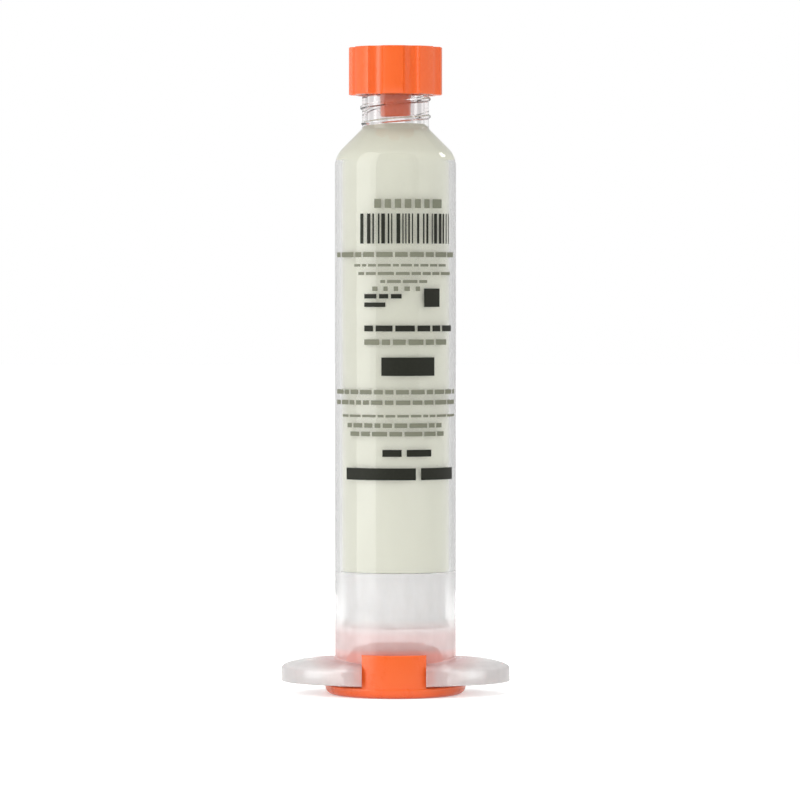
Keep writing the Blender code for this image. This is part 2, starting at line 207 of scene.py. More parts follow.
def mesh_object(name, shape):
    """Make an object of a finished bmesh."""
    mesh = bpy.data.meshes.new(name)
    shape.to_mesh(mesh)
    shape.free()
    return add_object(name, mesh)


def lathe(name, rows, columns, closed=False):
    """Turn the rows about Z. An open list starts and ends on the axis; a closed one is a ring."""
    shape = bmesh.new()
    turns = [2 * pi * k / columns for k in range(columns)]
    rings = []
    for radius, height in rows:
        if not callable(radius) and radius == 0.0:
            rings.append([shape.verts.new((0.0, 0.0, height))])
            continue
        ring = []
        for a in turns:
            r = radius(a) if callable(radius) else radius
            z = height(a) if callable(height) else height
            ring.append(shape.verts.new((r * cos(a), r * sin(a), z)))
        rings.append(ring)
    pairs = list(zip(rings, rings[1:])) + ([(rings[-1], rings[0])] if closed else [])
    for upper, lower in pairs:
        for k in range(columns):
            after = (k + 1) % columns
            corners = [upper[k % len(upper)], lower[k % len(lower)]]
            corners += [lower[after % len(lower)], upper[after % len(upper)]]
            shape.faces.new(list(dict.fromkeys(corners)))
    bmesh.ops.recalc_face_normals(shape, faces=shape.faces)
    return mesh_object(name, shape)


def settle(obj):
    """Turn an object's modifiers into its plain mesh."""
    depsgraph = bpy.context.evaluated_depsgraph_get()
    mesh = bpy.data.meshes.new_from_object(obj.evaluated_get(depsgraph))
    obj.modifiers.clear()
    obj.data = mesh
    mesh.name = obj.name


def smooth(obj, sharp_from):
    """Shade smooth, with edges sharper than an angle in degrees kept crisp."""
    obj.data.shade_smooth()
    obj.data.set_sharp_from_angle(angle=radians(sharp_from))


def report(obj):
    """Say how big a finished mesh is."""
    obj.data.calc_loop_triangles()
    print(obj.name, len(obj.data.loop_triangles), "triangles")


# %% [markdown]
# ## Geometry Nodes, written in Python
#
# A tree gets its inputs by name, and a modifier's inputs are set by each socket's identifier.

# %% A geometry tree and its modifier
class Geometry(Graph):
    """A Geometry Nodes tree with named number inputs."""

    def __init__(self, name, inputs):
        tree = bpy.data.node_groups.new(name, "GeometryNodeTree")
        super().__init__(tree)
        tree.interface.new_socket("Geometry", in_out="INPUT", socket_type="NodeSocketGeometry")
        for label, kind in inputs.items():
            tree.interface.new_socket(label, in_out="INPUT", socket_type="NodeSocket" + kind)
        tree.interface.new_socket("Geometry", in_out="OUTPUT", socket_type="NodeSocketGeometry")
        self.entry = tree.nodes.new("NodeGroupInput")

    def input(self, label):
        return Sum(self, self.entry.outputs[label])

    def finish(self, geometry, material):
        """End the tree: instances made real, and the material set."""
        real = self.add("GeometryNodeRealizeInstances", {}, {0: geometry})
        painted = self.add("GeometryNodeSetMaterial", {}, {"Geometry": real, "Material": material})
        leave = self.tree.nodes.new("NodeGroupOutput")
        self.tree.links.new(painted.socket, leave.inputs[0])

    def apply(self, obj, values):
        """Run the tree on an object and keep the result as its mesh."""
        modifier = obj.modifiers.new(self.tree.name, "NODES")
        modifier.node_group = self.tree
        for item in self.tree.interface.items_tree:
            if item.in_out == "INPUT" and item.name in values:
                modifier[item.identifier] = values[item.name]
        settle(obj)


# %% [markdown]
# ## Sizes
#
# These are the sizes that the solids were made to, in metres. What shows through the clear wall is
# given a closer fit than the solids keep, because the real pieces touch there.

# %% Sizes of the mouldings
BORE = 7.9 * MM
TUBE = 8.9 * MM
NECK = 4.92 * MM
TIP_BORE = 2.8 * MM
FOOT = 1.8 * MM
TUBE_TOP = 79.1 * MM
SHOULDER = radians(45)
SHOULDER_WALL = 1.0 * MM
STEEP = 90 - degrees(SHOULDER)
SHOULDER_TOP = TUBE_TOP + (TUBE - NECK) * tan(SHOULDER)
NECK_TOP = SHOULDER_TOP + 10.32 * MM
BORE_TOP = TUBE_TOP + (TUBE - BORE) * tan(SHOULDER) - SHOULDER_WALL / cos(SHOULDER)
TIP_BORE_FOOT = BORE_TOP + (BORE - TIP_BORE) * tan(SHOULDER)
SHOULDER_ROUND = 3.85 * MM
INNER_ROUND = SHOULDER_ROUND - (TUBE - BORE)
BORE_WALL_TOP = BORE_TOP - INNER_ROUND * tan((pi / 2 - SHOULDER) / 2)
FLANGE_HALF_LENGTH = 16.8 * MM
FLANGE_HALF_POINTS = 18.2 * MM
FLANGE_HALF_WIDTH = 10.45 * MM
FLANGE_BLUNTNESS = 12.0
FLANGE_EDGE = FOOT + 2.0 * MM
FLANGE_CROWN = 1.15 * MM
FLANGE_EAR_RISE = 0.5 * MM
FLANGE_TOP = FLANGE_EDGE + FLANGE_CROWN
print("neck ends at", round(NECK_TOP / MM, 2), "mm")

# %% [markdown]
# ## The barrel
#
# Clear polypropylene, moulded in one: a thin tube, a well rounded shoulder at 45 degrees, a thick
# neck and a finger flange. The flange's edge is a pointed oval with blunt ends, and its upper face
# swells up to the tube in a low crown, which rises a little towards the ears. One closed skin
# carries all of it, outside and bore, because light bends wherever two skins meet and a seam
# inside clear plastic would show.

# %% The flange's edge
def flange_edge(angle):
    """Distance from the axis to the flange's edge at an angle from +X."""
    arc_radius = (FLANGE_HALF_POINTS ** 2 + FLANGE_HALF_WIDTH ** 2) / (2 * FLANGE_HALF_WIDTH)
    arc_centre = arc_radius - FLANGE_HALF_WIDTH
    wide, along = abs(sin(angle)), abs(cos(angle))
    on_arc = sqrt(arc_radius ** 2 - (arc_centre * along) ** 2) - arc_centre * wide
    power = FLANGE_BLUNTNESS
    squared_off = FLANGE_HALF_LENGTH ** -power - FLANGE_HALF_POINTS ** -power
    return (on_arc ** -power + squared_off * along ** power) ** (-1 / power)


# %% The barrel's rows, from the mouth of the bore out, up and back down inside
COLUMNS = 192
MOUTH = 0.25 * MM
EDGE_ROUND = 0.22 * MM
TUBE_FILLET = 0.2 * MM
NECK_FILLET = 0.35 * MM
TIP_ROUND = 0.25 * MM
NECK_SEEN_TO = 88.2 * MM
VISIBLE_NECK_ROWS = 84
HIDDEN_NECK_ROWS = 60


def grown(inner, share):
    """A radius that is a share of the way from a circle to the flange's edge."""
    return lambda angle: inner + (flange_edge(angle) - inner) * share


def inset(amount):
    """The flange's edge, drawn in by an amount."""
    return lambda angle: flange_edge(angle) - amount


def inner_shoulder(drawn_in=0.0):
    """The rounding between the inner cone and the bore's wall, or a line that lies inside it."""
    return arc((BORE - INNER_ROUND, BORE_WALL_TOP), INNER_ROUND - drawn_in, STEEP, 0, 16)


def crown_at(swell, above=0.0):
    """A height on the flange's crown: a share of its swell, and a bit above that."""
    def height(angle):
        return FLANGE_EDGE + (FLANGE_CROWN + FLANGE_EAR_RISE * cos(angle) ** 4) * swell + above
    return height


def barrel_rows():
    rows = [(BORE, FOOT + MOUTH * 1.4), (BORE + MOUTH * 0.4, FOOT + MOUTH * 0.4), (BORE + MOUTH, FOOT)]
    rows += [(TUBE + 0.3 * MM, FOOT), (inset(EDGE_ROUND * 3), FOOT)]
    for k in range(5):
        turn = pi / 2 * k / 4
        drawn_in = EDGE_ROUND * (1 - sin(turn))
        rows.append((inset(drawn_in), FOOT + EDGE_ROUND * (1 - cos(turn))))
    rows.append((inset(0.0), FLANGE_EDGE - EDGE_ROUND))
    inner = TUBE + TUBE_FILLET
    crown_steps = 14
    for k in range(crown_steps + 1):
        turn = pi / 2 * k / crown_steps
        rows.append((grown(inner, cos(turn)), crown_at(sin(turn))))
    for radius, above in arc((inner, TUBE_FILLET), TUBE_FILLET, 270, 180, 4)[1:]:
        rows.append((radius, crown_at(1.0, above)))
    drop = SHOULDER_ROUND * tan((pi / 2 - SHOULDER) / 2)
    centre = (TUBE - SHOULDER_ROUND, TUBE_TOP - drop)
    rows += straight((TUBE, FLANGE_TOP + 2 * MM), (TUBE, centre[1]), 12)[:-1]
    rows += arc(centre, SHOULDER_ROUND, 0, STEEP, 16)
    rise = NECK_FILLET * tan((pi / 2 - SHOULDER) / 2)
    fillet_centre = (NECK + NECK_FILLET, SHOULDER_TOP + rise)
    rows += arc(fillet_centre, NECK_FILLET, 180 + STEEP, 180, 6)
    rows += straight(rows[-1], (NECK, NECK_SEEN_TO), VISIBLE_NECK_ROWS)
    rows += straight((NECK, NECK_SEEN_TO), (NECK, NECK_TOP - TIP_ROUND), HIDDEN_NECK_ROWS)
    rows += arc((NECK - TIP_ROUND, NECK_TOP - TIP_ROUND), TIP_ROUND, 0, 90, 4)[1:]
    rows += [(TIP_BORE + TIP_ROUND, NECK_TOP), (TIP_BORE, NECK_TOP - TIP_ROUND)]
    rows += straight(rows[-1], (TIP_BORE, TIP_BORE_FOOT), 8)
    inside = inner_shoulder()
    rows += straight(rows[-1], inside[0], 8)[:-1] + inside
    rows += straight(rows[-1], (BORE, FOOT + MOUTH * 1.4), 12)[:-1]
    return rows


barrel = lathe("barrel_moulding", barrel_rows(), COLUMNS, closed=True)
report(barrel)

# %% [markdown]
# ## The thread on the neck
#
# One ridge climbs the neck as a right-hand screw, 2.55 mm a turn. It could be swept as a separate
# piece, but then it would lie in the clear wall as a skin of its own. So the wall is pushed outward
# instead: Geometry Nodes moves each point of the neck by how near it lies to the screw line.

# %% Raise the thread with Geometry Nodes
thread = Geometry("screw_ridge", {
    "Neck": "Float", "Lead": "Float", "Height at +X": "Float", "Ridge": "Float",
    "Half width": "Float", "Flank": "Float", "Start": "Float", "End": "Float", "Fade": "Float",
    "Material": "Material",
})
along_x, along_y, height = thread.axes(thread.add("GeometryNodeInputPosition"))
from_axis = (along_x * along_x + along_y * along_y) ** 0.5
turn = along_y.math("ARCTAN2", along_x) / (2 * pi)
turns_up = (height - thread.input("Height at +X")) / thread.input("Lead") - turn
off_ridge = (turns_up - turns_up.math("ROUND")).math("ABSOLUTE") * thread.input("Lead")
inside_flank = thread.input("Half width") + thread.input("Flank") - off_ridge
swell = (inside_flank / thread.input("Flank")).clamped()
begun = ((height - thread.input("Start")) / thread.input("Fade")).clamped()
not_over = ((thread.input("End") - height) / thread.input("Fade")).clamped()
outside = from_axis.math("GREATER_THAN", thread.input("Neck") * 0.9)
on_neck = outside * from_axis.math("LESS_THAN", thread.input("Neck") * 1.01)
eased = swell * swell * (3 - 2 * swell)
push = eased * begun * not_over * on_neck * thread.input("Ridge") / from_axis
offset = thread.add("ShaderNodeCombineXYZ", {}, {0: along_x * push, 1: along_y * push, 2: 0.0})
raised = thread.add("GeometryNodeSetPosition", {}, {
    "Geometry": thread.input("Geometry"), "Offset": offset,
})
thread.finish(raised, thread.input("Material"))

clear_plastic = bpy.data.materials.new("clear_polypropylene")
THREAD_START = 83.55 * MM
thread.apply(barrel, {
    "Neck": NECK, "Lead": 2.55 * MM, "Height at +X": 84.86 * MM, "Ridge": 0.25 * MM,
    "Half width": 0.15 * MM, "Flank": 0.20 * MM, "Start": THREAD_START, "End": 91.5 * MM,
    "Fade": 0.35 * MM, "Material": clear_plastic,
})
on_thread = [v.co for v in barrel.data.vertices if v.co.z > THREAD_START]
print("thread raised to", round(max(Vector(co[:2]).length for co in on_thread) / MM, 2), "mm radius")

# %% [markdown]
# ## Notches for the clips
#
# At front and back the flange is cut square to take the end cap's clips. The cutter is a piece of
# a ring, so the notch's floor runs round the tube. The sides hug the clip: a gap there would be
# a dark line, which the photograph doesn't have.

# %% Cut the notches
NOTCH = 9.4 * MM
NOTCH_HALF_WIDTH = 4.69 * MM
CUT_FOOT, CUT_TOP, CUT_REACH = 0.5 * MM, 8.0 * MM, 13.0 * MM


def brick(name, low, high):
    """An upright block between two corners."""
    shape = bmesh.new()
    bmesh.ops.create_cube(shape, size=1.0)
    bmesh.ops.scale(shape, vec=[b - a for a, b in zip(low, high)], verts=shape.verts)
    bmesh.ops.translate(shape, vec=[(a + b) / 2 for a, b in zip(low, high)], verts=shape.verts)
    return mesh_object(name, shape)


def boolean(obj, other, operation):
    """Combine with another object, keep the result and delete the other."""
    modifier = obj.modifiers.new(other.name, "BOOLEAN")
    modifier.operation = operation
    modifier.solver = "EXACT"
    modifier.object = other
    settle(obj)
    bpy.data.objects.remove(other, do_unlink=True)


def lane(half_width):
    """A block along Y that keeps a strip of a ring at front and back."""
    return brick("lane", (-half_width, -2 * CUT_REACH, 0.0), (half_width, 2 * CUT_REACH, CUT_TOP + MM))


notch_ring = [(NOTCH, CUT_TOP), (CUT_REACH, CUT_TOP), (CUT_REACH, CUT_FOOT), (NOTCH, CUT_FOOT)]
notches = lathe("notches", notch_ring, COLUMNS, closed=True)
boolean(notches, lane(NOTCH_HALF_WIDTH), "INTERSECT")
boolean(barrel, notches, "DIFFERENCE")
smooth(barrel, 38)
report(barrel)

# %% [markdown]
# ## The flux
#
# A soft paste fills the barrel from the piston's nose to the foot of the tip. It touches the wall,
# so it is made a hair under the bore. As the piston comes up, the paste ahead of it has to shorten
# without leaving the bore, so the charge is made in two: a sleeve round the nose's way in the
# straight bore, which can be squashed, and a hood in the shoulder, which stays as it is and has a
# hollow where the nose ends up. Together they look like one filling. A film of air is left round
# the sleeve, where the photograph shows the wall as a grey edge. In the shoulder the paste wets
# the wall and fills it to the outline, so the hood's cone reaches a hair into the plastic.

# %% Sizes of the filling and of the piston's travel
WALL_TOUCH = 0.05 * MM
WETTING = 0.02 * MM
PISTON_FOOT = 10.0 * MM
PISTON_FACE = 18.15 * MM
TRAVEL = 59.1 * MM
NOSE = 4.2 * MM
NOSE_SHELF = 0.7 * MM
NOSE_ROOM = 0.1 * MM
PASTE_TOP = TIP_BORE_FOOT + 0.02 * MM
SLIDING = BORE - 0.3 * MM
NOSE_FOOT_RADIUS = SLIDING - NOSE_SHELF
NOSE_END_RADIUS = NOSE_FOOT_RADIUS - NOSE / tan(SHOULDER)


# %% The sleeve of flux in the straight bore, and the hood in the shoulder
def sleeve_rows():
    outer, inner = BORE - WALL_TOUCH, NOSE_FOOT_RADIUS + NOSE_ROOM
    face = PISTON_FACE + WALL_TOUCH
    return [(outer, BORE_WALL_TOP)] + straight((outer, BORE_WALL_TOP), (outer, face), 24) + [
        (inner, face), (inner, BORE_WALL_TOP)]


def hood_rows():
    meniscus = 0.12 * MM
    rim = TIP_BORE + WETTING
    rows = [(0.0, PASTE_TOP - meniscus), (rim * 0.6, PASTE_TOP - meniscus * 0.75)]
    rows += [(rim * 0.9, PASTE_TOP - meniscus * 0.3), (rim, PASTE_TOP), (rim, TIP_BORE_FOOT)]
    wetted, dry = inner_shoulder(-WETTING), inner_shoulder(WALL_TOUCH)
    last = len(dry) - 1
    rounding = [tuple(w + (d - w) * (k / last) ** 3 for w, d in zip(wet, gap))
                for k, (wet, gap) in enumerate(zip(wetted, dry))]
    rows += straight(rows[-1], rounding[0], 8)[:-1] + rounding
    nose_foot = PISTON_FACE + TRAVEL
    into_nose = (BORE_WALL_TOP - nose_foot) / tan(SHOULDER)
    rows.append((NOSE_FOOT_RADIUS - into_nose + NOSE_ROOM, BORE_WALL_TOP))
    rows.append((NOSE_END_RADIUS + NOSE_ROOM, nose_foot + NOSE + NOSE_ROOM))
    rows.append((0.0, nose_foot + NOSE + NOSE_ROOM))
    return rows


sleeve = lathe("flux_sleeve", sleeve_rows(), 128, closed=True)
hood = lathe("flux_hood", hood_rows(), 128)
for piece in (sleeve, hood):
    smooth(piece, 25)
    report(piece)

# %% [markdown]
# ## The follower piston
#
# A white polyethylene cup: a thin lip at each end seals against the bore and a shallow waist
# between them doesn't touch. The nose is a cone to match the barrel's shoulder, so that little
# flux is left when it arrives.

# %% The piston
LIP = 0.8 * MM
WAIST = 0.25 * MM
PISTON_WALL = 1.6 * MM
NOSE_HOLLOW = 2.5 * MM


def piston_rows():
    lip = BORE - WALL_TOUCH
    edge = 0.12 * MM
    waist = SLIDING - WAIST
    cup = SLIDING - PISTON_WALL
    cup_top = PISTON_FACE - PISTON_WALL
    rows = [(0.0, PISTON_FACE + NOSE), (NOSE_END_RADIUS - edge * 2, PISTON_FACE + NOSE)]
    rows += [(NOSE_END_RADIUS, PISTON_FACE + NOSE - edge * 2), (NOSE_FOOT_RADIUS, PISTON_FACE)]
    rows += [(lip - edge, PISTON_FACE), (lip, PISTON_FACE - edge)]
    rows += [(lip, PISTON_FACE - LIP + edge), (lip - edge, PISTON_FACE - LIP)]
    rows += [(waist, PISTON_FACE - LIP - WAIST), (waist, PISTON_FOOT + LIP + WAIST)]
    rows += [(lip - edge, PISTON_FOOT + LIP), (lip, PISTON_FOOT + LIP - edge)]
    rows += [(lip, PISTON_FOOT + edge), (lip - edge, PISTON_FOOT)]
    rows += [(cup + edge, PISTON_FOOT), (cup, PISTON_FOOT + edge), (cup, cup_top)]
    rows += [(NOSE_END_RADIUS, cup_top + NOSE_HOLLOW), (0.0, cup_top + NOSE_HOLLOW)]
    return rows


piston = lathe("follower_piston", piston_rows(), 128)
smooth(piston, 30)
report(piston)

# %% [markdown]
# ## The end cap
#
# One orange moulding: a disc with a well rounded under edge, a plug with a chamfered top that is
# hollow from below, and two clips. Each clip is a thin wall that rises in the flange's notch and
# ends in a hook over the flange's crown. The clips start as a whole ring, and a lane cuts them out.

# %% Disc, plug and clips
DISC = 10.35 * MM
DISC_TOP = 1.5 * MM
DISC_ROUND = 1.2 * MM
DISC_RIM_ROUND = 0.15 * MM
PLUG_TOP = 6.6 * MM
PLUG = SLIDING
PLUG_CHAMFER = (1.35 * MM, 1.9 * MM)
PLUG_WALL = 1.4 * MM
RECESS_CHAMFER = 1.1 * MM
CLIP_IN = 9.65 * MM
CLIP_OUT = 10.25 * MM
CLIP_HALF_WIDTH = 4.7 * MM
CLIP_EASE = 0.16 * MM
CLIP_FOOT = DISC_TOP - 0.4 * MM
HOOK_TIP = 9.1 * MM
HOOK_FOOT = FLANGE_TOP + 0.3 * MM
HOOK_TOP = HOOK_FOOT + 1.1 * MM
EASE = 0.12 * MM


def end_cap_rows():
    recess = PLUG - PLUG_WALL
    recess_top = PLUG_TOP - PLUG_WALL
    rows = [(0.0, PLUG_TOP), (PLUG - PLUG_CHAMFER[0] - EASE, PLUG_TOP)]
    rows += [(PLUG - PLUG_CHAMFER[0] + EASE, PLUG_TOP - EASE), (PLUG, PLUG_TOP - PLUG_CHAMFER[1])]
    rows += [(PLUG, DISC_TOP + EASE), (PLUG + EASE, DISC_TOP)]
    rows += arc((DISC - DISC_RIM_ROUND, DISC_TOP - DISC_RIM_ROUND), DISC_RIM_ROUND, 90, 0, 3)
    rows += arc((DISC - DISC_ROUND, DISC_ROUND), DISC_ROUND, 0, -90, 10)
    rows += [(recess + EASE, 0.0), (recess, EASE), (recess, recess_top - RECESS_CHAMFER)]
    rows += [(recess - PLUG_CHAMFER[0], recess_top), (0.0, recess_top)]
    return rows


def clip_rows():
    rounding = (CLIP_OUT - CLIP_IN) / 2
    ridge = CLIP_OUT - rounding
    rows = arc((ridge, HOOK_TOP - rounding), rounding, 100, 0, 6)
    rows += [(CLIP_OUT, CLIP_FOOT), (CLIP_IN, CLIP_FOOT)]
    rows += [(CLIP_IN, HOOK_FOOT + EASE / 2), (CLIP_IN - EASE / 2, HOOK_FOOT)]
    rows += [(HOOK_TIP + EASE / 2, HOOK_FOOT), (HOOK_TIP, HOOK_FOOT + EASE / 2)]
    rows.append((HOOK_TIP, HOOK_FOOT + 0.3 * MM))
    return rows


def ease_edges(obj, width, sharper_than):
    """Take the sharpness off the edges, as a mould does."""
    bevel = obj.modifiers.new("ease", "BEVEL")
    bevel.width = width
    bevel.segments = 2
    bevel.limit_method = "ANGLE"
    bevel.angle_limit = radians(sharper_than)
    settle(obj)


clips = lathe("clips", clip_rows(), COLUMNS, closed=True)
boolean(clips, lane(CLIP_HALF_WIDTH), "INTERSECT")
ease_edges(clips, CLIP_EASE, 60)
end_cap = lathe("end_cap_moulding", end_cap_rows(), COLUMNS)
boolean(end_cap, clips, "UNION")
smooth(end_cap, 35)
report(end_cap)

# %% [markdown]
# ## The tip cap
#
# The grip is eight lobes with shallow round grooves between them. The rule is simple: the wall
# stands at its radius unless a groove's round cutter reaches further in. Geometry Nodes applies
# it to a turned cap. Inside, a tapered pin reaches down and plugs the tip.

# %% Turn the cap
CAP = 6.85 * MM
CAP_BORE = 5.47 * MM
CAP_TOP = NECK_TOP + 1.6 * MM
CAP_FOOT = CAP_TOP - 7.0 * MM
CAP_INSIDE_TOP = CAP_TOP - 1.3 * MM
CAP_ROUND = 0.15 * MM
PIN_ROOT = 2.5 * MM
PIN_END = 2.2 * MM
PIN_FOOT = CAP_INSIDE_TOP - 8.9 * MM


def tip_cap_rows():
    lip = 0.18 * MM
    pin_ease = 0.15 * MM
    rows = [(0.0, CAP_TOP), (CAP * 0.5, CAP_TOP)]
    rows += arc((CAP - CAP_ROUND, CAP_TOP - CAP_ROUND), CAP_ROUND, 90, 0, 6)
    rows += straight(rows[-1], (CAP, CAP_FOOT + lip), 6)
    rows += arc((CAP - lip, CAP_FOOT + lip), lip, 0, -90, 3)[1:]
    rows += [(CAP_BORE + lip, CAP_FOOT), (CAP_BORE, CAP_FOOT + lip)]
    rows += [(CAP_BORE, CAP_INSIDE_TOP), (PIN_ROOT, CAP_INSIDE_TOP)]
    rows += [(PIN_END, PIN_FOOT + pin_ease), (PIN_END - pin_ease, PIN_FOOT), (0.0, PIN_FOOT)]
    return rows


tip_cap = lathe("tip_cap_moulding", tip_cap_rows(), 480)

# %% Press the grip grooves with Geometry Nodes
grip = Geometry("grip_grooves", {
    "Count": "Float", "First": "Float", "Bar centre": "Float", "Bar radius": "Float",
    "Material": "Material",
})
place = grip.add("GeometryNodeInputPosition")
along_x, along_y, height = grip.axes(place)
from_axis = (along_x * along_x + along_y * along_y) ** 0.5
pitch = 2 * pi / grip.input("Count")
steps_round = (along_y.math("ARCTAN2", along_x) - grip.input("First")) / pitch
off_groove = (steps_round - steps_round.math("ROUND")) * pitch
aside = off_groove.math("SINE") * grip.input("Bar centre")
inside_bar = grip.input("Bar radius") * grip.input("Bar radius") - aside * aside
cut_to = off_groove.math("COSINE") * grip.input("Bar centre") - inside_bar.math("MAXIMUM", 0.0) ** 0.5
in_groove = inside_bar.math("GREATER_THAN", 0.0) * from_axis.math("GREATER_THAN", CAP_BORE * 1.06)
limit = cut_to * in_groove + from_axis * (1 - in_groove)
drawn = from_axis.math("MINIMUM", limit) / from_axis.math("MAXIMUM", 0.000001)
moved = grip.add("ShaderNodeCombineXYZ", {}, {0: along_x * drawn, 1: along_y * drawn, 2: height})
pressed = grip.add("GeometryNodeSetPosition", {}, {
    "Geometry": grip.input("Geometry"), "Position": moved,
})
grip.finish(pressed, grip.input("Material"))

orange_plastic = bpy.data.materials.new("orange_moulding")
GROOVE_RADIUS = 1.65 * MM
GROOVE_DEPTH = 0.70 * MM
grip.apply(tip_cap, {
    "Count": 8.0, "First": radians(-68.8), "Bar centre": CAP + GROOVE_RADIUS - GROOVE_DEPTH,
    "Bar radius": GROOVE_RADIUS, "Material": orange_plastic,
})
smooth(tip_cap, 30)
report(tip_cap)

# %% [markdown]
# ## The print
#
# The real barrel is printed in one dark ink, straight on the plastic. Here the print is plain:
# a field of stripes, a few dark blocks, and rows of short bars. Each mark is laid out flat, by the
# columns and lines of the picture that it spans, and a bar's length and its gap are in millimetres.
# Then Geometry Nodes gives it a thickness and wraps it on the tube.

# %% Lay out the marks
INK_LIFT = 0.012 * MM
INK_THICKNESS = 0.02 * MM
INK_CELL = 0.4 * MM
dice = random.Random(11)


def across_picture(x):
    """Arc length on the tube's front for a place across the picture."""
    side = max(-0.995, min(0.995, (x - AXIS_AT_X) / PIXELS_PER_MM * MM / TUBE))
    return atan2(side, sqrt(1 - side * side)) * TUBE


def up_picture(y):
    """Height of a place on the tube's front, for the picture's line y."""
    share = (TUBE * cos(TURNED)) / DISTANCE
    level = (FLOOR_AT_Y - y) / PIXELS_PER_MM * MM
    return level * (1 - share) + eye_up * share


def bar(marks, start, end, lines):
    """One mark between two places along the arc."""
    marks.append((start, end, *(up_picture(y) for y in lines)))


def block(marks, columns, lines):
    """One mark between two columns of the picture."""
    bar(marks, *(across_picture(x) for x in columns), lines)


def bar_row(marks, columns, lines, lengths, gap):
    """A row of bars of chance length, between a shortest and a longest."""
    start, end = (across_picture(x) for x in columns)
    shortest, longest = lengths
    while start < end - shortest * MM:
        stop = start + dice.uniform(shortest, longest) * MM
        stop = end if stop > end - shortest * MM else stop
        bar(marks, start, stop, lines)
        start = stop + gap * MM


def stripe_field(marks, columns, lines, widths, gaps):
    """Upright stripes of chance width and spacing."""
    start, end = (across_picture(x) for x in columns)
    while start < end:
        width = dice.choice(widths) * MM
        bar(marks, start, min(start + width, end), lines)
        start += width + dice.choice(gaps) * MM


dark_marks, grey_marks = [], []
stripe_field(dark_marks, columns=(362, 449), lines=(213.5, 243.5),
             widths=(0.18, 0.25, 0.35, 0.55), gaps=(0.25, 0.3, 0.4, 0.6))
bar_row(grey_marks, columns=(376, 442), lines=(199, 208), lengths=(0.9, 1.1), gap=0.55)
bar_row(grey_marks, columns=(338, 453), lines=(252, 257), lengths=(1.0, 3.0), gap=0.35)
bar_row(grey_marks, columns=(356, 449), lines=(264, 266.5), lengths=(0.7, 2.0), gap=0.3)
bar_row(grey_marks, columns=(360, 450), lines=(272, 275), lengths=(0.7, 2.4), gap=0.3)
bar_row(grey_marks, columns=(382, 428), lines=(280, 283), lengths=(0.7, 2.2), gap=0.3)
bar_row(grey_marks, columns=(374, 421), lines=(286.5, 291), lengths=(0.6, 0.8), gap=0.9)
bar_row(dark_marks, columns=(366, 403), lines=(294, 298.5), lengths=(1.3, 2.4), gap=0.4)
block(dark_marks, columns=(425, 440), lines=(288.5, 307))
bar_row(dark_marks, columns=(366, 387), lines=(302.5, 307), lengths=(1.6, 2.8), gap=0.4)
bar_row(dark_marks, columns=(366, 451), lines=(325.5, 331.5), lengths=(1.4, 3.2), gap=0.4)
bar_row(grey_marks, columns=(366, 451), lines=(339.5, 345), lengths=(1.2, 3.0), gap=0.4)
block(dark_marks, columns=(383, 435), lines=(357.5, 376))
bar_row(grey_marks, columns=(338, 454), lines=(390, 394.5), lengths=(0.8, 2.6), gap=0.35)
bar_row(grey_marks, columns=(338, 454), lines=(400.5, 405), lengths=(0.8, 2.6), gap=0.35)
bar_row(grey_marks, columns=(344, 454), lines=(415, 417.5), lengths=(0.7, 2.2), gap=0.3)
bar_row(grey_marks, columns=(349, 446), lines=(423.5, 428), lengths=(0.8, 2.8), gap=0.35)
bar_row(grey_marks, columns=(352, 444), lines=(432, 436.5), lengths=(0.8, 2.8), gap=0.35)
block(dark_marks, columns=(384, 403), lines=(450, 457))
block(dark_marks, columns=(408, 432), lines=(450, 457))
block(dark_marks, columns=(348, 417), lines=(468.5, 480.5))
block(dark_marks, columns=(422, 452), lines=(468.5, 480.5))
print(len(dark_marks), "dark marks and", len(grey_marks), "grey marks")

# %% Thicken and wrap the marks with Geometry Nodes
wrap = Geometry("wrap_on_tube", {
    "Tube": "Float", "Lift": "Float", "Thickness": "Float", "Material": "Material",
})
thick = wrap.add("GeometryNodeExtrudeMesh", {"mode": "FACES"}, {
    "Mesh": wrap.input("Geometry"), "Offset Scale": wrap.input("Thickness"), "Individual": False,
})
flat_x, lifted, height = wrap.axes(wrap.add("GeometryNodeInputPosition"))
angle = flat_x / wrap.input("Tube")
from_axis = wrap.input("Tube") + wrap.input("Lift") - lifted
wrapped = wrap.add("ShaderNodeCombineXYZ", {}, {
    0: angle.math("SINE") * from_axis, 1: -(angle.math("COSINE") * from_axis), 2: height,
})
curved = wrap.add("GeometryNodeSetPosition", {}, {"Geometry": thick, "Position": wrapped})
wrap.finish(curved, wrap.input("Material"))


def ink_piece(name, marks, material):
    """Flat rectangles on the XZ plane, closed below, thickened and wrapped."""
    shape = bmesh.new()
    for left, right, top, bottom in marks:
        cells = max(1, round((right - left) / INK_CELL))
        columns = [left + (right - left) * k / cells for k in range(cells + 1)]
        upper = [shape.verts.new((x, 0.0, top)) for x in columns]
        lower = [shape.verts.new((x, 0.0, bottom)) for x in columns]
        for k in range(cells):
            shape.faces.new((lower[k], lower[k + 1], upper[k + 1], upper[k]))
    bmesh.ops.recalc_face_normals(shape, faces=shape.faces)
    facing_in = [f for f in shape.faces if f.normal.y > 0]
    bmesh.ops.reverse_faces(shape, faces=facing_in)
    obj = mesh_object(name, shape)
    wrap.apply(obj, {"Tube": TUBE, "Lift": INK_LIFT, "Thickness": INK_THICKNESS, "Material": material})
    report(obj)
    return obj


dark_ink = bpy.data.materials.new("dark_ink")
grey_ink = bpy.data.materials.new("grey_ink")
dark_print = ink_piece("print_dark", dark_marks, dark_ink)
grey_print = ink_piece("print_grey", grey_marks, grey_ink)

# %% [markdown]
# ## Finishes
#
# Every surface starts from one Principled shader. Constant values go straight on its sockets, and
# only colour, roughness and bump change over the surface.

